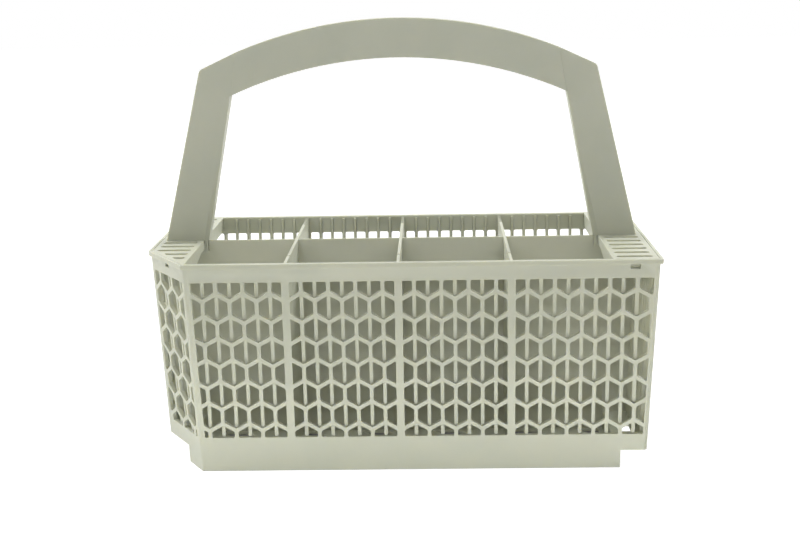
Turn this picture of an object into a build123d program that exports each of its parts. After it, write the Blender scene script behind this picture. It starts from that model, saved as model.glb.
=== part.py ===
import os
from collections import namedtuple
from math import ceil, cos, floor, isclose, radians, sin, tan

from build123d import *

# Dishwasher cutlery basket, in millimetres, standing on Z = 0 with its seen front towards -Y.
# Two mouldings: the lattice basket with its dividers, and the handle frame that snaps into its rim.

# Basket outside, measured at the rim
rim_length = 242.5
rim_depth = 127.7
basket_height = 103.7
wall = 2.0
end_draft = 2.2
side_draft = 4.4

# Cut-off corner, front left: plan direction it faces, depth of the cut, its draft
corner_heading = 211.5
corner_cut = 18.15
corner_draft = 4.0
corner_radius = 1.6

# Rim flange, and the lip of the rebate that the end plates lie in
flange_overhang = 1.15
flange_height = 2.2
lip = 1.4

# Plinth, and the pierced floor: low down inside the plinth and a step higher beyond its ends
plinth_from_end = 16.35
plinth_height = 9.0
floor_lift = 0.3
floor_thickness = 1.4
floor_slot = 9.0
floor_rib = 17.0
floor_margin = 2.2
floor_slot_angle = 45
least_floor_slot = 40.0
end_slot_length = 11.0

# Hexagon lattice of the walls
hex_pitch = 12.7
row_rise = 10.82
strut = 1.8
bar_width = 3.65
hexes_between_bars = 4
corner_hexes = 2.5
corner_post = 2.6
lattice_bottom = 17.2
lattice_from_rim = 8.8
hex_slope = 30
least_window = 6.5

# Dividers: one long sheet, and cross dividers with small nicks in their top edges
cross_dividers = 3
divider = 1.4
divider_drop = 0.6
nick_from_wall = 21.85
nick_width = 1.6
nick_depth = 0.7

# End plates of the handle frame
plate_run = 21.95
plate_thickness = 2.0
plate_clearance = 0.25
slot_width = 4.0
slot_pitch = 9.5
slot_from_edge = 6.6
slot_margin = 2.3
apron = 1.6
apron_end_drop = 7.6
apron_mid_drop = 4.6
apron_end_run = 30.0
apron_mid_run = 14.0
apron_clearance = 0.3
guide_width = 1.6
guide_reach = 1.8
guide_drop = 6.0

# Snap lugs under the plates and their windows below the flange
snap_width = 4.6
snap_height = 2.3
snap_from_plate_edge = 10.3
snap_clearance = 0.3
tongue = 1.5
lug = 1.2

# Handle: two leaning uprights and an arched grip, open at the back
handle_height = 212.9
handle_front = 3.5
handle_thickness = 9.0
handle_skin = 2.4
upright_from_end = 3.05
upright_width = 21.4
upright_lean = 20.4
shoulder_run = 18.4
shoulder_drop = 8.5
shoulder_radius = 3.0
grip_arch = 15.4
grip_depth = 19.1
grip_end_depth = 21.4
grip_end_lean = 3.7
grip_proud = 0.6
grip_ribs = 3
grip_rib = 1.6
grip_rib_spacing = 40.0

# The five walls: plan direction each faces, its distance from the middle at the rim, its draft
Wall = namedtuple("Wall", "heading reach draft")
front = Wall(-90, rim_depth / 2, side_draft)
right = Wall(0, rim_length / 2, end_draft)
rear = Wall(90, rim_depth / 2, side_draft)
left = Wall(180, rim_length / 2, end_draft)
corner_turn = radians(corner_heading)
square_corner = -rim_length / 2 * cos(corner_turn) - rim_depth / 2 * sin(corner_turn)
corner = Wall(corner_heading, square_corner - corner_cut, corner_draft)
walls = [front, right, rear, left, corner]

floor_top = floor_lift + floor_thickness
end_floor_top = plinth_height + floor_thickness
flange_bottom = basket_height - flange_height
plate_seat = basket_height - plate_thickness
relief_bottom = basket_height - apron_mid_drop - apron_clearance
lattice_top = basket_height - lattice_from_rim
rows = ceil((lattice_top - lattice_bottom) / row_rise)
divider_top = basket_height - divider_drop
divider_spacing = hexes_between_bars * hex_pitch - strut + bar_width
bar_half = bar_width / 2
last_bar = (cross_dividers - 1) / 2 * divider_spacing
first_cell = (bar_width - strut) / 2
plinth_end = rim_length / 2 - plinth_from_end
low_floor_end = plinth_end - wall
end_floor_end = rim_length / 2 - wall - (basket_height - end_floor_top) * tan(radians(end_draft))
end_floor_side = rim_depth / 2 - wall - (basket_height - end_floor_top) * tan(radians(side_draft))
end_slot_width = end_floor_end - plinth_end - 2 * floor_margin
plate_inner = rim_length / 2 - plate_run
plate_slots = floor((rim_depth / 2 - slot_from_edge - handle_thickness) / slot_pitch) + 1
room = 2 * rim_length

# Corners of the handle's outline on its right side
upright_base_outer = rim_length / 2 - upright_from_end
upright_base_inner = upright_base_outer - upright_width
upright_top_outer = upright_base_outer - upright_lean
grip_end_top = upright_top_outer - shoulder_run
grip_end_bottom = grip_end_top + grip_end_lean
grip_end_height = handle_height - grip_arch
grip_end_under = grip_end_height - grip_end_depth
upright_shoulder = grip_end_height - shoulder_drop
grip_under = handle_height - grip_depth


def wall_plane(side, inset=0.0):
    """Face of a drafted wall, set in by inset; local X runs along the wall and local Y climbs it."""
    turn = radians(side.heading)
    lean = radians(side.draft)
    reach = side.reach - inset - basket_height * tan(lean)
    return Plane(
        origin=(reach * cos(turn), reach * sin(turn), 0),
        x_dir=(-sin(turn), cos(turn), 0),
        z_dir=(cos(lean) * cos(turn), cos(lean) * sin(turn), -sin(lean)),
    )


def meeting(side, neighbour, height):
    """Place along a wall, at a height, where its outside meets that of its neighbour."""
    drop = basket_height - height
    own = side.reach - drop * tan(radians(side.draft))
    other = neighbour.reach - drop * tan(radians(neighbour.draft))
    turn = radians(neighbour.heading - side.heading)
    return (other - own * cos(turn)) / sin(turn)


def drafted_block(inset, low, high, radius=0.0):
    """Five-sided block within the drafted walls, its sides set in by inset, between two heights."""
    with BuildPart() as block:
        with Locations((0, 0, low)):
            Box(room, room, high - low, align=(Align.CENTER, Align.CENTER, Align.MIN))
        for side in walls:
            split(bisect_by=wall_plane(side, inset), keep=Keep.BOTTOM)
        if radius:
            level_edges = block.faces().filter_by(Axis.Z).edges()
            fillet(block.edges() - level_edges, radius)
    return block.part


def slab(low_x, high_x, low_z, high_z):
    """Plain block across the whole depth, between two places along the basket."""
    block = Box(high_x - low_x, room, high_z - low_z, mode=Mode.PRIVATE)
    return Pos((low_x + high_x) / 2, 0, (low_z + high_z) / 2) * block


def hexagon(pitch):
    """Corners of one lattice window: the hexagon cell drawn in by half a strut on every side."""
    slope = radians(hex_slope)
    half = (pitch - strut) / 2
    rise = pitch / 2 * tan(slope)
    side = (row_rise - rise) / 2 + strut / 2 * tan(slope) - strut / 2 / cos(slope)
    tip = side + half * tan(slope)
    return [(0, tip), (-half, side), (-half, -side), (0, -tip), (half, -side), (half, side)]


def panel(side, low_end, high_end):
    """Outline of a lattice panel; each end is a place along the wall or the neighbour it runs up to."""
    lean = cos(radians(side.draft))
    outline = []
    for end, post, levels in (
        (low_end, corner_post, (lattice_bottom, lattice_top)),
        (high_end, -corner_post, (lattice_top, lattice_bottom)),
    ):
        for level in levels:
            place = meeting(side, end, level) + post if isinstance(end, Wall) else end
            outline.append((place, level / lean))
    return outline


def reach_of(outline):
    """Least and greatest place of a panel along its wall."""
    places = [place for place, _ in outline]
    return min(places), max(places)


def window_places(side, outline, first, pitch, shift):
    """Middles of the hexagons that touch a panel, row by row; every other row is moved half a pitch."""
    low, high = reach_of(outline)
    top_row = lattice_bottom + (rows - 1) * row_rise
    places = []
    for row in range(rows):
        start = first + pitch / 2 * ((row + shift) % 2)
        height = (top_row - row * row_rise) / cos(radians(side.draft))
        for step in range(floor((low - start) / pitch), ceil((high - start) / pitch) + 1):
            places.append((start + step * pitch, height))
    return places


# Each lattice panel: its wall, its two ends, the middle of a hexagon in its first row, pitch and row shift
corner_clear = meeting(corner, front, lattice_top) - meeting(corner, left, lattice_top) - 2 * corner_post
corner_pitch = (corner_clear + strut) / corner_hexes
corner_start = meeting(corner, front, lattice_top) - corner_post + strut / 2
panels = [(corner, left, front, corner_start, corner_pitch, 1)]
for side, before, after in ((front, corner, right), (rear, right, left)):
    for step in range(cross_dividers - 1):
        low_bar = step * divider_spacing - last_bar
        high_bar = low_bar + divider_spacing
        panels.append((side, low_bar + bar_half, high_bar - bar_half, low_bar + first_cell, hex_pitch, 0))
    panels.append((side, before, -last_bar - bar_half, -last_bar - first_cell, hex_pitch, 0))
    panels.append((side, last_bar + bar_half, after, last_bar + first_cell, hex_pitch, 0))
for side, before, after in ((right, front, rear), (left, rear, corner)):
    panels.append((side, before, -bar_half, -first_cell, hex_pitch, 0))
    panels.append((side, bar_half, after, first_cell, hex_pitch, 0))

# Snap lugs: the wall each one catches in, and its place along that wall
snap_x = plate_inner + snap_from_plate_edge
corner_middle = (meeting(corner, left, plate_seat) + meeting(corner, front, plate_seat)) / 2
snaps = [(front, snap_x), (rear, -snap_x), (rear, snap_x), (corner, corner_middle)]

outside = drafted_block(0, 0, basket_height, corner_radius)
flange = drafted_block(-flange_overhang, flange_bottom, basket_height, corner_radius)
inside = drafted_block(wall, end_floor_top, basket_height)
cavity = drafted_block(wall / 2, floor_lift, basket_height)
rebate = drafted_block(lip - flange_overhang, plate_seat, basket_height)
plates = drafted_block(lip - flange_overhang + plate_clearance, plate_seat, basket_height)
apron_bounds = drafted_block(wall + apron_clearance, floor_top, basket_height)
plate_ends = [
    (-room, -plate_inner, plate_seat, basket_height),
    (plate_inner, room, plate_seat, basket_height),
]
apron_ends = [
    (-plate_inner - apron, -plate_inner, floor_top, basket_height),
    (plate_inner, plate_inner + apron, floor_top, basket_height),
]
plate_outline = plates.faces().sort_by(Axis.Z)[-1]
end_plates = [plates & slab(*end) for end in plate_ends]
with BuildSketch() as inset_outline:
    add(plate_outline)
    offset(amount=-slot_margin)
slot_bounds = inset_outline.sketch
with BuildPart() as apron_form:
    with BuildSketch(Plane.YZ):
        with BuildLine():
            Polyline(
                (-room, plate_seat),
                (-room, basket_height - apron_end_drop),
                (-apron_end_run, basket_height - apron_end_drop),
                (-apron_mid_run, basket_height - apron_mid_drop),
                (apron_mid_run, basket_height - apron_mid_drop),
                (apron_end_run, basket_height - apron_end_drop),
                (room, basket_height - apron_end_drop),
                (room, plate_seat),
                close=True,
            )
        make_face()
    extrude(amount=room, both=True)
    add(apron_bounds, mode=Mode.INTERSECT)
aprons = [apron_form.part & slab(*end) for end in apron_ends]
plinth_inside = slab(-low_floor_end, low_floor_end, 0, end_floor_top)
low_inside = drafted_block(wall, floor_top, end_floor_top)
well = low_inside & plinth_inside
underside = drafted_block(wall, 0, floor_lift) & plinth_inside
plinth_ends = [
    (-room, -plinth_end, 0, plinth_height),
    (plinth_end, room, 0, plinth_height),
]
reliefs = [
    (-room, plate_clearance - plate_inner, relief_bottom, basket_height),
    (plate_inner - plate_clearance, room, relief_bottom, basket_height),
]
notches = [slab(*end) for end in plinth_ends]
floor_plane = Plane.XY.offset(end_floor_top)
with BuildSketch(floor_plane) as inset_floor:
    add(low_inside.faces().sort_by(Axis.Z)[-1])
    offset(amount=-floor_margin)
rebates = [rebate & slab(*end) for end in reliefs]
clearings = [inside & slab(*end) for end in reliefs]

with BuildPart() as dividers:
    with BuildSketch(Plane.XY.offset(floor_top - floor_thickness / 2)):
        Rectangle(room, divider)
        with GridLocations(divider_spacing, 0, cross_dividers, 1):
            Rectangle(divider, room)
    extrude(amount=divider_top - floor_top + floor_thickness / 2)
    add(cavity, mode=Mode.INTERSECT)
    # Nicks in the top edges of the cross dividers
    with BuildSketch(Plane.YZ.offset(-room)):
        for half in (-1, 1):
            with Locations((half * (rim_depth / 2 - nick_from_wall), divider_top)):
                Rectangle(nick_width, 2 * nick_depth)
    extrude(amount=2 * room, mode=Mode.SUBTRACT)
    for clearing in clearings:
        add(clearing, mode=Mode.SUBTRACT)

with BuildPart() as basket:
    add(outside)
    add(flange)
    add(inside, mode=Mode.SUBTRACT)
    add(well, mode=Mode.SUBTRACT)
    add(underside, mode=Mode.SUBTRACT)
    add(dividers.part)
    for notch in notches:
        add(notch, mode=Mode.SUBTRACT)
    for rebate_end in rebates:
        add(rebate_end, mode=Mode.SUBTRACT)
    # Slanted slots through the low floor, and one plain slot in each part of the raised floors
    with BuildSketch(floor_plane) as floor_slots:
        Rectangle(2 * (low_floor_end - floor_margin), room)
        Rectangle(room, divider + 2 * floor_margin, mode=Mode.SUBTRACT)
        with GridLocations(divider_spacing, 0, cross_dividers, 1):
            Rectangle(divider + 2 * floor_margin, room, mode=Mode.SUBTRACT)
        across = (floor_slot + floor_rib) / cos(radians(floor_slot_angle))
        with GridLocations(across, 0, 2 * ceil(room / 2 / across) + 1, 1):
            Rectangle(floor_rib, 2 * room, rotation=floor_slot_angle, mode=Mode.SUBTRACT)
        with GridLocations(plinth_end + end_floor_end, end_floor_side, 2, 2):
            Rectangle(end_slot_width, end_slot_length)
        add(inset_floor.sketch_local, mode=Mode.INTERSECT)
        for sliver in floor_slots.faces().filter_by(lambda face: face.area < least_floor_slot):
            add(sliver, mode=Mode.SUBTRACT)
    extrude(amount=-2 * end_floor_top, mode=Mode.SUBTRACT)
    # Snap windows under the flange
    for side, place in snaps:
        with BuildSketch(wall_plane(side)):
            with Locations((place, (flange_bottom - snap_height / 2) / cos(radians(side.draft)))):
                Rectangle(snap_width, snap_height)
    # Lattice windows
    for side, low_end, high_end, first, pitch, shift in panels:
        outline = panel(side, low_end, high_end)
        with BuildSketch(wall_plane(side)) as windows:
            with Locations(*window_places(side, outline, first, pitch, shift)):
                Polygon(*hexagon(pitch), align=None)
            Polygon(*outline, align=None, mode=Mode.INTERSECT)
            for sliver in windows.faces().filter_by(lambda face: face.area < least_window):
                add(sliver, mode=Mode.SUBTRACT)
    extrude(amount=-2 * wall, mode=Mode.SUBTRACT)

with BuildPart() as handle_frame:
    # Arch of uprights and grip, hollowed from the back
    with BuildSketch(Plane.XZ.offset(handle_front)) as arch:
        with BuildLine():
            Polyline(
                (upright_base_inner, basket_height),
                (upright_base_outer, basket_height),
                (upright_top_outer, upright_shoulder),
                (grip_end_top, grip_end_height),
            )
            ThreePointArc(
                (grip_end_top, grip_end_height), (0, handle_height), (-grip_end_top, grip_end_height)
            )
            Polyline(
                (-grip_end_top, grip_end_height),
                (-upright_top_outer, upright_shoulder),
                (-upright_base_outer, basket_height),
                (-upright_base_inner, basket_height),
                (-grip_end_bottom, grip_end_under),
            )
            ThreePointArc(
                (-grip_end_bottom, grip_end_under), (0, grip_under), (grip_end_bottom, grip_end_under)
            )
            Line((grip_end_bottom, grip_end_under), (upright_base_inner, basket_height))
        make_face()
        shoulders = arch.vertices().filter_by(lambda point: isclose(point.Y, upright_shoulder))
        fillet(shoulders, shoulder_radius)
    extrude(amount=-handle_thickness)
    back = Plane.XZ.offset(handle_front - handle_thickness)
    with BuildSketch(back) as channel:
        add(arch.sketch_local)
        offset(amount=-handle_skin)
    extrude(amount=handle_thickness - handle_skin, mode=Mode.SUBTRACT)
    with BuildSketch(back):
        with GridLocations(grip_rib_spacing, 0, grip_ribs, 1):
            Rectangle(grip_rib, 2 * handle_height)
        add(channel.sketch_local, mode=Mode.INTERSECT)
    extrude(amount=handle_thickness - handle_skin)
    # Grip face, a little proud of the uprights
    with BuildSketch(Plane.XZ.offset(handle_front)):
        with BuildLine():
            ThreePointArc(
                (grip_end_top, grip_end_height), (0, handle_height), (-grip_end_top, grip_end_height)
            )
            Line((-grip_end_top, grip_end_height), (-grip_end_bottom, grip_end_under))
            ThreePointArc(
                (-grip_end_bottom, grip_end_under), (0, grip_under), (grip_end_bottom, grip_end_under)
            )
            Line((grip_end_bottom, grip_end_under), (grip_end_top, grip_end_height))
        make_face()
    extrude(amount=grip_proud)
    # End plates, with rows of slots in front of the uprights and behind them
    for plate in end_plates:
        add(plate)
    with BuildSketch(Plane.XY.offset(basket_height)) as slots:
        outer = plate_outline.bounding_box().max.X - slot_margin
        inner = plate_inner + slot_margin
        first_slot = plate_outline.bounding_box().max.Y - slot_from_edge
        for end in (-1, 1):
            for half in (-1, 1):
                for step in range(plate_slots):
                    with Locations((end * (inner + outer) / 2, half * (first_slot - step * slot_pitch))):
                        Rectangle(outer - inner, slot_width)
        add(slot_bounds, mode=Mode.INTERSECT)
        for sliver in slots.faces().filter_by(lambda face: face.area < slot_width**2):
            add(sliver, mode=Mode.SUBTRACT)
    extrude(amount=-2 * plate_thickness, mode=Mode.SUBTRACT)
    # Aprons under the plates' inner edges, deeper towards the long walls
    for end in aprons:
        add(end)
    # Guides on the aprons, one on each side of the long divider
    guide_y = divider / 2 + apron_clearance + guide_width / 2
    for end in (-1, 1):
        for half in (-1, 1):
            with BuildSketch(Plane.XY.offset(basket_height)):
                with Locations((end * (plate_inner - guide_reach / 2 + apron / 2), half * guide_y)):
                    Rectangle(guide_reach + apron, guide_width)
            extrude(amount=-guide_drop)
    # Snap tongues behind the walls, each with a lug that stands in its window
    for side, place in snaps:
        lean = cos(radians(side.draft))
        tongue_bottom = flange_bottom - snap_height - snap_clearance
        behind = wall_plane(side, wall + apron_clearance)
        with BuildSketch(behind):
            with Locations((place, (plate_seat + tongue_bottom) / 2 / lean)):
                Rectangle(snap_width - 2 * snap_clearance, (plate_seat - tongue_bottom) / lean)
        extrude(amount=-tongue)
        with BuildSketch(behind):
            with Locations((place, (flange_bottom - snap_height / 2) / lean)):
                Rectangle(snap_width - 2 * snap_clearance, snap_height - 2 * snap_clearance)
        extrude(amount=apron_clearance + lug)

basket.part.label = "basket"
handle_frame.part.label = "handle_frame"
os.makedirs("parts", exist_ok=True)
export_step(basket.part, "parts/basket.step")
export_step(handle_frame.part, "parts/handle_frame.step")
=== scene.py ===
from collections import namedtuple
from math import ceil, cos, floor, radians, sin, tan

import bmesh
import bpy
from mathutils import Color, Matrix, Vector

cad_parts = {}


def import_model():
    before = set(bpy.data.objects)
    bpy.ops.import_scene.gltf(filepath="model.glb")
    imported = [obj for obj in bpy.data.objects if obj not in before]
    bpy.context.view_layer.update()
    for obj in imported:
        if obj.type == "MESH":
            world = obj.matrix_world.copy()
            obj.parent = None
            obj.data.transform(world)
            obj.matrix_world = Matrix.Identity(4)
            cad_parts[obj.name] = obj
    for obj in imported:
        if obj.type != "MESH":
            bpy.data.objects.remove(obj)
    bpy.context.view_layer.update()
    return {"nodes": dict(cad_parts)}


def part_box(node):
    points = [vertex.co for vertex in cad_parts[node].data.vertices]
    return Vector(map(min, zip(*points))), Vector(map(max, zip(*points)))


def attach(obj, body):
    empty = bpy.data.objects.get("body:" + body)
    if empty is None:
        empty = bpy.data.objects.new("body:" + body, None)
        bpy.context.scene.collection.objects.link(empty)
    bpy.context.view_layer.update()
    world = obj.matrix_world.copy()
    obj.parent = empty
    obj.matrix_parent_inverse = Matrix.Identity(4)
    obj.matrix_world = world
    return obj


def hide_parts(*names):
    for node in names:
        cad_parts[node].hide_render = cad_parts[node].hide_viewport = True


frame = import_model()

# Dishwasher cutlery basket, in metres: two sage-grey plastic mouldings on a white ground.

MM = 0.001

Wall = namedtuple("Wall", "heading reach draft")
Noise = namedtuple("Noise", "scale detail roughness")
Lamp = namedtuple("Lamp", "name place width height power")

# Basket walls, as in the solid
FLANGE_OVERHANG = 1.15 * MM
WALL = 2.0 * MM
SIDE_DRAFT = radians(4.4)
END_DRAFT = radians(2.2)
CORNER_DRAFT = radians(4.0)
CORNER_HEADING = radians(211.5)
CORNER_CUT = 18.15 * MM
PLINTH_FROM_END = 16.35 * MM
FLOOR_TOP = 1.7 * MM
END_FLOOR_TOP = 10.4 * MM

# Lattice of the walls, with upright bars between its panels
HEX_PITCH = 12.7 * MM
STRUT = 1.8 * MM
BAR_WIDTH = 3.65 * MM
HEXES_BETWEEN_BARS = 4
SIDE_BARS = 3
END_BARS = 1
CORNER_HEXES = 2.5
CORNER_POST = 2.6 * MM
LATTICE_FROM_RIM = 8.8 * MM
TOP_ROW_REACH = 2.0 * MM

# Upright ribs inside the walls, tapered to a narrow crest and rooted in the wall
RIBS_PER_HEX = 2
RIB_WIDTH = 1.75 * MM
RIB_CREST = 1.0 * MM
RIB_DEPTH = 1.6 * MM
RIB_ROOT = 0.4 * MM
RIB_FROM_RIM = 1.0 * MM

# The handle's end plates, with the room that their aprons take and their snap lugs
PLATE_RUN = 21.95 * MM
PLATE_ROOM = 9.2 * MM
PLATE_THICKNESS = 2.1 * MM
LUG_SHOW = 0.1 * MM

# Rounding of the arrises, of the corners of the lattice windows and of the plates' slots
EDGE_ROUND = 0.28 * MM
EDGE_SEGMENTS = 2
WINDOW_ROUND = 0.6 * MM
WINDOW_SEGMENTS = 2
TOP_WINDOW_ROUND = 0.85 * MM
TOP_WINDOW_SEGMENTS = 4
SLOT_ROUND = 1.6 * MM
SLOT_SEGMENTS = 4
ROUND_PROFILE = 0.5

# Length of a corner through a wall or a plate, and the shortest edge that a rounding may end at
LEAST_THROUGH = 1.9 * MM
MOST_THROUGH = 2.1 * MM
LEAST_EDGE = 3 * EDGE_ROUND

# Angles at which an edge is sharp, creased in the shading or flat, and how near two points are one
SHARP = radians(28)
CREASE = radians(20)
FLAT = radians(0.05)
WELD = 0.002 * MM

# Sage plastic: colours as sRGB, how far light runs inside it, and edges that are softened in the shading
SAGE = (0.739, 0.746, 0.677)
SAGE_WARM = (0.754, 0.754, 0.679)
SAGE_COOL = (0.716, 0.726, 0.659)
SPECULAR = 0.42
TRANSLUCENT_SHARE = 0.5
TRANSLUCENCE = Vector((2.2, 2.0, 1.3)) * MM
TRANSLUCENCE_SCALE = 1.0
SOFT_EDGE = 0.32 * MM
SOFT_SAMPLES = 6

# Noise in the plastic: slow drift and finer flow of its tone, uneven gloss, matt grain
DRIFT = Noise(scale=14.0, detail=3.0, roughness=0.5)
DRIFT_SPAN = (0.35, 0.65)
FLOW = Noise(scale=60.0, detail=4.0, roughness=0.6)
FLOW_SPAN = (0.40, 0.75)
FLOW_MOST = 0.5
GLOSS = Noise(scale=220.0, detail=5.0, roughness=0.6)
GLOSS_SPAN = (0.3, 0.7)
SURFACE_ROUGHNESS = (0.40, 0.54)
GRAIN = Noise(scale=2600.0, detail=2.0, roughness=0.5)
GRAIN_STRENGTH = 0.06
GRAIN_HEIGHT = 0.1 * MM
BASKET_NOISE_PLACE = (0.3, 0.6, 0.9)
HANDLE_NOISE_PLACE = (1.7, 3.4, 5.1)

# Sockets of Blender's mix node that carry colours
MIX_COLOUR_A = 6
MIX_COLOUR_B = 7
MIX_COLOUR_OUT = 2

# Camera, matched to the photograph: angles in radians, lens and sensor in millimetres
CAMERA_PLACE = Vector((16.75, -689.4, 234.8)) * MM
CAMERA_PITCH = 0.2095
CAMERA_YAW = -0.0251
CAMERA_ROLL = 0.0181
LENS = 62.36
SENSOR = 36.0
CLIP_START = 0.01

# White ground: what it throws back as light, and its shade and glow to the camera
GROUND_SIZE = 8.0
GROUND_BOUNCE = 0.90
GROUND_SHADE = 0.30
GROUND_GLOW = 0.94
GROUND_EDGE = 0.6 * MM

# White surround: its light from in front, what is added from behind, and its level to the camera
WORLD_LIGHT = 0.08
WORLD_BEHIND = 0.9
WORLD_SEEN = 1.0

# Lamps: a long strip in front, a large one on top, a low one at the skirt, one at the left, two behind
LAMPS = (
    Lamp(name="strip", place=Vector((0.0, -1.20, 0.447)), width=1.4, height=0.05, power=4.6),
    Lamp(name="top", place=Vector((0.0, 0.0, 1.30)), width=1.1, height=1.1, power=7.0),
    Lamp(name="fill", place=Vector((0.0, -0.115, 0.009)), width=0.4, height=0.016, power=0.062),
    Lamp(name="side", place=Vector((-1.20, 0.0, 0.40)), width=0.7, height=0.7, power=2.4),
    Lamp(name="rear", place=Vector((-1.0, 0.65, 0.80)), width=0.5, height=0.5, power=11.5),
    Lamp(name="rear", place=Vector((1.0, 0.65, 0.80)), width=0.5, height=0.5, power=11.5),
)

# Walls of the basket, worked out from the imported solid
basket_low, basket_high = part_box("basket")
RIM_HALF_LENGTH = (basket_high[0] - basket_low[0]) / 2 - FLANGE_OVERHANG
RIM_HALF_DEPTH = (basket_high[1] - basket_low[1]) / 2 - FLANGE_OVERHANG
RIM_TOP = basket_high[2]
PLATE_UNDERSIDE = RIM_TOP - PLATE_THICKNESS
PLINTH_END = RIM_HALF_LENGTH - PLINTH_FROM_END
LATTICE_TOP = RIM_TOP - LATTICE_FROM_RIM
BAR_SPACING = HEXES_BETWEEN_BARS * HEX_PITCH - STRUT + BAR_WIDTH
FIRST_CELL = (BAR_WIDTH - STRUT) / 2
RIB_PITCH = HEX_PITCH / RIBS_PER_HEX
SQUARE_CORNER = -RIM_HALF_LENGTH * cos(CORNER_HEADING) - RIM_HALF_DEPTH * sin(CORNER_HEADING)
FRONT = Wall(heading=radians(-90), reach=RIM_HALF_DEPTH, draft=SIDE_DRAFT)
RIGHT = Wall(heading=0.0, reach=RIM_HALF_LENGTH, draft=END_DRAFT)
REAR = Wall(heading=radians(90), reach=RIM_HALF_DEPTH, draft=SIDE_DRAFT)
LEFT = Wall(heading=radians(180), reach=RIM_HALF_LENGTH, draft=END_DRAFT)
CORNER = Wall(heading=CORNER_HEADING, reach=SQUARE_CORNER - CORNER_CUT, draft=CORNER_DRAFT)


def outward(side):
    """Level direction out of a wall."""
    return Vector((cos(side.heading), sin(side.heading), 0))


def reach_at(side, height, inset=0):
    """Distance from the basket's middle to a wall at a height, set in from its outside."""
    return side.reach - inset - (RIM_TOP - height) * tan(side.draft)


def meeting(side, neighbour, height, inset):
    """Place along a wall, at a height, where it meets its neighbour, both set in by inset."""
    own = reach_at(side, height, inset)
    other = reach_at(neighbour, height, inset)
    turn = neighbour.heading - side.heading
    return (other - own * cos(turn)) / sin(turn)


def on_wall(side, along, height, inset):
    """Point at a place along a wall and a height, set in from its outside."""
    run = Vector((-sin(side.heading), cos(side.heading), 0))
    return outward(side) * reach_at(side, height, inset) + run * along + Vector((0, 0, height))


def linear(colour):
    """sRGB to the linear values that the shader takes."""
    return [*Color(colour).from_srgb_to_scene_linear(), 1.0]


def noise(tree, place, pattern):
    """Noise of a pattern at a place, about 0.5."""
    texture = tree.nodes.new("ShaderNodeTexNoise")
    texture.inputs["Scale"].default_value = pattern.scale
    texture.inputs["Detail"].default_value = pattern.detail
    texture.inputs["Roughness"].default_value = pattern.roughness
    tree.links.new(place, texture.inputs["Vector"])
    return texture.outputs["Fac"]


def spread(tree, value, span, new_span):
    """A value carried from one span to another and held inside it."""
    ramp = tree.nodes.new("ShaderNodeMapRange")
    ramp.inputs["From Min"].default_value, ramp.inputs["From Max"].default_value = span
    ramp.inputs["To Min"].default_value, ramp.inputs["To Max"].default_value = new_span
    tree.links.new(value, ramp.inputs["Value"])
    return ramp.outputs["Result"]


def mix(tree, factor, first, second):
    """Blend of two colours, each of them fixed or a node's output."""
    blend = tree.nodes.new("ShaderNodeMix")
    blend.data_type = "RGBA"
    tree.links.new(factor, blend.inputs["Factor"])
    for socket, colour in ((MIX_COLOUR_A, first), (MIX_COLOUR_B, second)):
        if isinstance(colour, bpy.types.NodeSocket):
            tree.links.new(colour, blend.inputs[socket])
        else:
            blend.inputs[socket].default_value = colour
    return blend.outputs[MIX_COLOUR_OUT]


def larger(tree, first, second):
    """The larger of two values."""
    pick = tree.nodes.new("ShaderNodeMath")
    pick.operation = "MAXIMUM"
    tree.links.new(first, pick.inputs[0])
    tree.links.new(second, pick.inputs[1])
    return pick.outputs["Value"]


def plastic(name, noise_place):
    """Satin moulded plastic: faint drifts of tone, a fine matt grain and a slightly uneven gloss."""
    material = bpy.data.materials.new(name)
    material.use_nodes = True
    tree = material.node_tree
    link = tree.links.new
    shader = tree.nodes["Principled BSDF"]
    shader.inputs["Specular IOR Level"].default_value = SPECULAR
    shader.inputs["Subsurface Weight"].default_value = TRANSLUCENT_SHARE
    shader.inputs["Subsurface Radius"].default_value = TRANSLUCENCE
    shader.inputs["Subsurface Scale"].default_value = TRANSLUCENCE_SCALE

    place = tree.nodes.new("ShaderNodeTexCoord")
    shift = tree.nodes.new("ShaderNodeMapping")
    shift.inputs["Location"].default_value = noise_place
    link(place.outputs["Object"], shift.inputs["Vector"])
    spot = shift.outputs["Vector"]

    drift = spread(tree, noise(tree, spot, DRIFT), DRIFT_SPAN, (0.0, 1.0))
    flow = spread(tree, noise(tree, spot, FLOW), FLOW_SPAN, (0.0, FLOW_MOST))
    tone = mix(tree, drift, linear(SAGE), linear(SAGE_COOL))
    link(mix(tree, flow, tone, linear(SAGE_WARM)), shader.inputs["Base Color"])
    gloss = noise(tree, spot, GLOSS)
    link(spread(tree, gloss, GLOSS_SPAN, SURFACE_ROUGHNESS), shader.inputs["Roughness"])

    grain = tree.nodes.new("ShaderNodeBump")
    grain.inputs["Strength"].default_value = GRAIN_STRENGTH
    grain.inputs["Distance"].default_value = GRAIN_HEIGHT
    link(noise(tree, spot, GRAIN), grain.inputs["Height"])
    soft = tree.nodes.new("ShaderNodeBevel")
    soft.samples = SOFT_SAMPLES
    soft.inputs["Radius"].default_value = SOFT_EDGE
    link(soft.outputs["Normal"], grain.inputs["Normal"])
    link(grain.outputs["Normal"], shader.inputs["Normal"])
    return material


def clean_mesh(node):
    """The CAD node's own mesh, welded, with its flat faces whole again."""
    form = bmesh.new()
    form.from_mesh(frame["nodes"][node].data)
    bmesh.ops.remove_doubles(form, verts=form.verts, dist=WELD)
    bmesh.ops.dissolve_limit(form, angle_limit=FLAT, verts=form.verts, edges=form.edges)
    return form


def through_corners(form):
    """The inside corners of the openings that go straight through a wall or a plate."""
    corners = []
    for edge in form.edges:
        if edge.is_manifold and edge.calc_face_angle_signed() < -SHARP:
            if LEAST_THROUGH < edge.calc_length() < MOST_THROUGH:
                corners.append(edge)
    return corners


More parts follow.
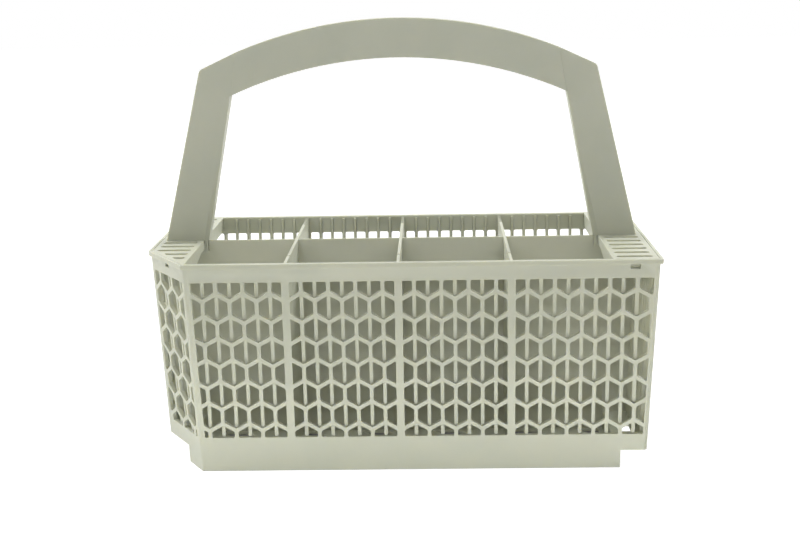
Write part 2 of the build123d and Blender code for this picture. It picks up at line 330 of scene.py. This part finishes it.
def has_room(corner, width):
    """Whether the other edges at a corner's two ends are long enough to lose a width at each end."""
    for end in corner.verts:
        for edge in end.link_edges:
            if edge is not corner and edge.calc_length() <= 2 * width:
                return False
    return True


def bevel(form, edges, width, segments):
    """Rounds edges to a width."""
    bmesh.ops.bevel(
        form, geom=edges, offset=width, offset_type="OFFSET", segments=segments, profile=ROUND_PROFILE,
        affect="EDGES", clamp_overlap=False, loop_slide=False,
    )


def round_edges(form):
    """Rounds the outward edges, save at the snaps and where they end at an edge too short to take it."""
    # A large face with many windows tears unless it is first split into convex ones
    bmesh.ops.connect_verts_concave(form, faces=form.faces)
    cramped = set()
    for edge in form.edges:
        if edge.calc_length() < LEAST_EDGE and abs(edge.calc_face_angle_signed()) > SHARP:
            cramped.update(edge.verts)
    for point in form.verts:
        if LATTICE_TOP + TOP_ROW_REACH < point.co.z < PLATE_UNDERSIDE:
            cramped.add(point)
    arrises = []
    for edge in form.edges:
        if edge.calc_face_angle_signed() > SHARP and cramped.isdisjoint(edge.verts):
            arrises.append(edge)
    bevel(form, arrises, EDGE_ROUND, EDGE_SEGMENTS)


def sink_lugs(form):
    """Sets the snap lugs deep in their windows, a little short of the wall's inside."""
    for point in form.verts:
        for side in (FRONT, REAR, CORNER):
            depth = reach_at(side, point.co.z) - point.co.dot(outward(side))
            if point.co.z < PLATE_UNDERSIDE and depth < WALL:
                point.co -= outward(side) * (WALL - LUG_SHOW - depth)


def add_rib(form, side, along, top):
    """One upright rib on the inside of a wall, from the low floor or a raised floor to a height."""
    root = RIB_WIDTH / 2
    crest = RIB_CREST / 2
    raised = abs(on_wall(side, along, END_FLOOR_TOP, WALL).x) > PLINTH_END - WALL - RIB_WIDTH
    foot = END_FLOOR_TOP if raised else FLOOR_TOP
    rings = []
    for height in (foot - RIB_ROOT, top):
        ring = []
        for offset, inset in (
            (-root, WALL - RIB_ROOT),
            (root, WALL - RIB_ROOT),
            (crest, WALL + RIB_DEPTH),
            (-crest, WALL + RIB_DEPTH),
        ):
            ring.append(form.verts.new(on_wall(side, along + offset, height, inset)))
        rings.append(ring)
    bottom, crown = rings
    form.faces.new(bottom[::-1])
    form.faces.new(crown)
    for step in range(len(bottom)):
        ahead = (step + 1) % len(bottom)
        form.faces.new((bottom[step], bottom[ahead], crown[ahead], crown[step]))


def rib_places(side, before, after):
    """Places of the ribs along a wall: evenly on each side of its bars, clear of the bars."""
    ends = []
    for neighbour in (before, after):
        ends.append(meeting(side, neighbour, END_FLOOR_TOP, WALL))
    least = min(ends) + CORNER_POST
    most = max(ends) - CORNER_POST
    bars = SIDE_BARS if side in (FRONT, REAR) else END_BARS
    outer_bar = (bars - 1) / 2 * BAR_SPACING
    places = []
    for panel in range(bars - 1):
        start = panel * BAR_SPACING - outer_bar + FIRST_CELL
        for rib in range(1, RIBS_PER_HEX * HEXES_BETWEEN_BARS):
            places.append(start + rib * RIB_PITCH)
    for rib in range(1, ceil(most / RIB_PITCH)):
        place = outer_bar + FIRST_CELL + rib * RIB_PITCH
        if place < most:
            places.append(place)
        if -place > least:
            places.append(-place)
    return places


def add_ribs(form):
    """Ribs on all five walls; under the end plates they stop lower, clear of the plates' aprons."""
    plate_start = RIM_HALF_LENGTH - PLATE_RUN
    tall = RIM_TOP - RIB_FROM_RIM
    short = RIM_TOP - PLATE_ROOM
    for side, before, after in (
        (FRONT, CORNER, RIGHT),
        (RIGHT, FRONT, REAR),
        (REAR, RIGHT, LEFT),
        (LEFT, REAR, CORNER),
    ):
        for along in rib_places(side, before, after):
            under_plate = abs(on_wall(side, along, RIM_TOP, 0).x) > plate_start - RIB_WIDTH
            add_rib(form, side, along, short if under_plate else tall)
    first = meeting(CORNER, LEFT, LATTICE_TOP, 0) + CORNER_POST
    last = meeting(CORNER, FRONT, LATTICE_TOP, 0) - CORNER_POST
    pitch = (last - first + STRUT) / CORNER_HEXES
    for rib in range(1, floor(RIBS_PER_HEX * CORNER_HEXES)):
        add_rib(form, CORNER, last + STRUT / 2 - rib * pitch / RIBS_PER_HEX, short)


def finish_piece(name, form, material):
    """Makes the piece, smooth over its gentle bends, and sets it on the frame."""
    for face in form.faces:
        face.smooth = True
    mesh = bpy.data.meshes.new(name)
    form.to_mesh(mesh)
    form.free()
    mesh.set_sharp_from_angle(angle=CREASE)
    mesh.materials.append(material)
    piece = bpy.data.objects.new(name, mesh)
    bpy.context.collection.objects.link(piece)
    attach(piece, "root")
    return piece


def make_basket():
    """Lattice basket: the corners of its windows and its arrises rounded, with ribs inside its walls."""
    form = clean_mesh("basket")
    top_corners = []
    other_corners = []
    for corner in through_corners(form):
        above_top = corner.verts[0].co.z - LATTICE_TOP
        if above_top < -TOP_ROW_REACH and has_room(corner, WINDOW_ROUND):
            other_corners.append(corner)
        elif abs(above_top) < TOP_ROW_REACH and has_room(corner, TOP_WINDOW_ROUND):
            top_corners.append(corner)
    bevel(form, top_corners, TOP_WINDOW_ROUND, TOP_WINDOW_SEGMENTS)
    bevel(form, other_corners, WINDOW_ROUND, WINDOW_SEGMENTS)
    round_edges(form)
    add_ribs(form)
    basket = finish_piece("lattice_basket", form, plastic("basket_sage", BASKET_NOISE_PLACE))
    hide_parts("basket")
    return basket


def make_handle():
    """Carrying handle with its end plates: lugs set back, slot ends and arrises rounded."""
    form = clean_mesh("handle_frame")
    sink_lugs(form)
    bevel(form, through_corners(form), SLOT_ROUND, SLOT_SEGMENTS)
    round_edges(form)
    handle = finish_piece("carrying_handle", form, plastic("handle_sage", HANDLE_NOISE_PLACE))
    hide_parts("handle_frame")
    return handle


def clear_ray(tree):
    """1 for a ray from the camera, a gloss or a clear body, 0 for one that lights a matt surface."""
    path = tree.nodes.new("ShaderNodeLightPath")
    found = path.outputs["Is Camera Ray"]
    for kind in ("Is Glossy Ray", "Is Transmission Ray"):
        found = larger(tree, found, path.outputs[kind])
    return found


def glow_outside_foot(tree):
    """Glow of the ground: none under the basket's foot, full outside it."""
    place = tree.nodes.new("ShaderNodeTexCoord")
    glow = None
    for side in (FRONT, RIGHT, REAR, LEFT, CORNER):
        foot = PLINTH_END if side in (RIGHT, LEFT) else reach_at(side, 0)
        across = tree.nodes.new("ShaderNodeVectorMath")
        across.operation = "DOT_PRODUCT"
        across.inputs[1].default_value = outward(side)
        tree.links.new(place.outputs["Object"], across.inputs[0])
        beyond = spread(tree, across.outputs["Value"], (foot - GROUND_EDGE, foot), (0.0, GROUND_GLOW))
        glow = beyond if glow is None else larger(tree, glow, beyond)
    return glow


def matt(tree, level):
    """Matt grey surface."""
    surface = tree.nodes.new("ShaderNodeBsdfDiffuse")
    surface.inputs["Color"].default_value = (level, level, level, 1)
    return surface.outputs["BSDF"]


def ground_white():
    """White that glows to the camera and in a gloss, keeps the shadow, and lights as a matt surface."""
    material = bpy.data.materials.new("ground_white")
    material.use_nodes = True
    tree = material.node_tree
    link = tree.links.new
    tree.nodes.remove(tree.nodes["Principled BSDF"])
    glow = tree.nodes.new("ShaderNodeEmission")
    link(glow_outside_foot(tree), glow.inputs["Strength"])
    seen = tree.nodes.new("ShaderNodeAddShader")
    link(matt(tree, GROUND_SHADE), seen.inputs[0])
    link(glow.outputs["Emission"], seen.inputs[1])
    either = tree.nodes.new("ShaderNodeMixShader")
    link(clear_ray(tree), either.inputs["Fac"])
    link(matt(tree, GROUND_BOUNCE), either.inputs[1])
    link(seen.outputs["Shader"], either.inputs[2])
    link(either.outputs["Shader"], tree.nodes["Material Output"].inputs["Surface"])
    return material


def ground():
    """White ground that the basket stands on."""
    half = GROUND_SIZE / 2
    corners = [(-half, -half, 0), (half, -half, 0), (half, half, 0), (-half, half, 0)]
    mesh = bpy.data.meshes.new("ground")
    mesh.from_pydata(corners, [], [(0, 1, 2, 3)])
    mesh.materials.append(ground_white())
    floor_object = bpy.data.objects.new("ground", mesh)
    bpy.context.collection.objects.link(floor_object)


def area_light(lamp):
    """Soft lamp that faces the basket's middle and isn't seen itself."""
    data = bpy.data.lights.new(lamp.name, "AREA")
    data.shape = "RECTANGLE"
    data.energy = lamp.power
    data.size = lamp.width
    data.size_y = lamp.height
    light = bpy.data.objects.new(lamp.name, data)
    light.location = lamp.place
    middle = Vector((0, 0, RIM_TOP / 2))
    light.rotation_euler = (middle - lamp.place).to_track_quat("-Z", "Y").to_euler()
    light.visible_camera = False
    bpy.context.collection.objects.link(light)


def world():
    """White surround: full white to the camera and in a gloss, softer as light, brighter from behind."""
    scene_world = bpy.data.worlds.new("surround")
    bpy.context.scene.world = scene_world
    scene_world.use_nodes = True
    tree = scene_world.node_tree
    link = tree.links.new
    background = tree.nodes["Background"]
    background.inputs["Color"].default_value = (1, 1, 1, 1)
    place = tree.nodes.new("ShaderNodeTexCoord")
    axes = tree.nodes.new("ShaderNodeSeparateXYZ")
    link(place.outputs["Generated"], axes.inputs["Vector"])
    level = spread(tree, axes.outputs["Y"], (0.0, 1.0), (WORLD_LIGHT, WORLD_LIGHT + WORLD_BEHIND))
    strength = tree.nodes.new("ShaderNodeMix")
    strength.inputs["B"].default_value = WORLD_SEEN
    link(clear_ray(tree), strength.inputs["Factor"])
    link(level, strength.inputs["A"])
    link(strength.outputs["Result"], background.inputs["Strength"])


def camera():
    """Camera at the photograph's place."""
    data = bpy.data.cameras.new("camera")
    data.lens = LENS
    data.sensor_width = SENSOR
    data.clip_start = CLIP_START
    view = bpy.data.objects.new("camera", data)
    turn = Matrix.Rotation(-CAMERA_YAW, 4, "Z")
    tilt = Matrix.Rotation(radians(90) - CAMERA_PITCH, 4, "X")
    roll = Matrix.Rotation(-CAMERA_ROLL, 4, "Z")
    view.matrix_world = Matrix.Translation(CAMERA_PLACE) @ turn @ tilt @ roll
    bpy.context.collection.objects.link(view)
    bpy.context.scene.camera = view


basket = make_basket()
handle = make_handle()

# The CAD nodes carry the same plastic as the pieces made from them
for node, piece in (("basket", basket), ("handle_frame", handle)):
    for slot in frame["nodes"][node].material_slots:
        slot.material = piece.data.materials[0]

ground()
for lamp in LAMPS:
    area_light(lamp)
world()
camera()
bpy.context.scene.view_settings.view_transform = "Standard"
